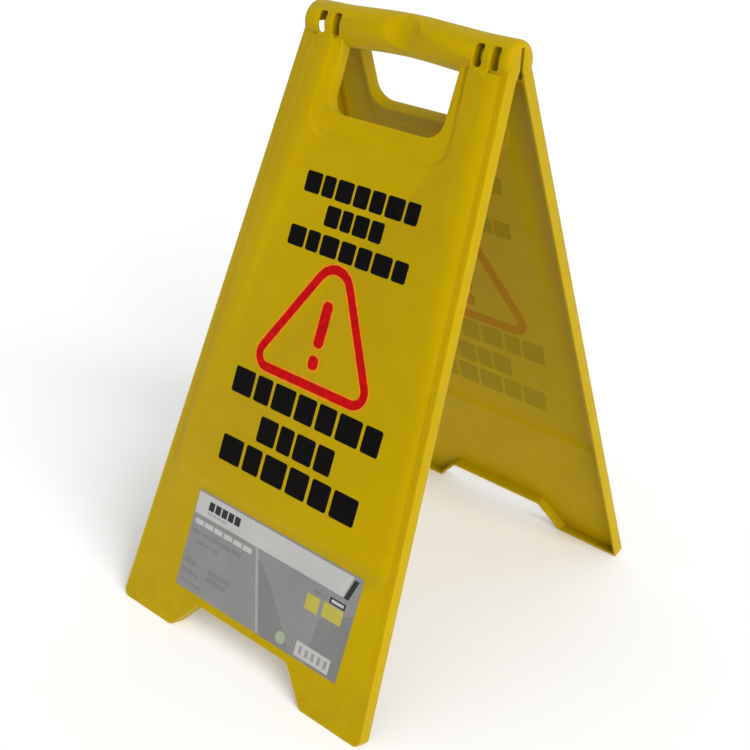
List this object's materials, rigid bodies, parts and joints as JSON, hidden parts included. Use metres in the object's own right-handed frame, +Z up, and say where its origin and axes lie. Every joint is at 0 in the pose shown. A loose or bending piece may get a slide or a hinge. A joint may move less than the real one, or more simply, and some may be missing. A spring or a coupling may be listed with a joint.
{
  "type": "folding floor sign",
  "caption": "Free-standing A-frame floor sign: two tapered moulded panels hinged under a round carrying grip, with a warning triangle, printed bars and a label.",
  "frame": {"origin": "on the floor, under the middle of the hinge, with the sign standing open", "axes": "+Z up, +X along the hinge to the right seen from the front, front panel towards -Y"},
  "size_m": [0.2988, 0.4002, 0.535],
  "materials": {
    "yellow_plastic": "semi-gloss moulded polypropylene",
    "black_ink": "screen printed ink",
    "red_ink": "screen printed ink",
    "label_film": "printed satin film"
  },
  "bodies": {
    "front": {"front_panel": "yellow_plastic", "front_symbol_frame": "red_ink", "front_symbol_bar": "red_ink", "front_symbol_dot": "red_ink", "front_message_line_1": "black_ink", "front_message_line_2": "black_ink", "front_message_line_3": "black_ink", "front_message_line_4": "black_ink", "front_message_line_5": "black_ink", "front_message_line_6": "black_ink", "label": "label_film", "left_hinge_pin": "yellow_plastic", "right_hinge_pin": "yellow_plastic"},
    "rear": {"rear_panel": "yellow_plastic", "rear_symbol_frame": "red_ink", "rear_symbol_bar": "red_ink", "rear_symbol_dot": "red_ink", "rear_message_line_1": "black_ink", "rear_message_line_2": "black_ink", "rear_message_line_3": "black_ink", "rear_message_line_4": "black_ink", "rear_message_line_5": "black_ink", "rear_message_line_6": "black_ink"}
  },
  "joints": [
    {"name": "fold_hinge", "type": "hinge", "parent": "front", "child": "rear", "pos_m": [0, 0, 0.51461], "axis": [1, 0, 0], "range_deg": [-40, 0]}
  ]
}
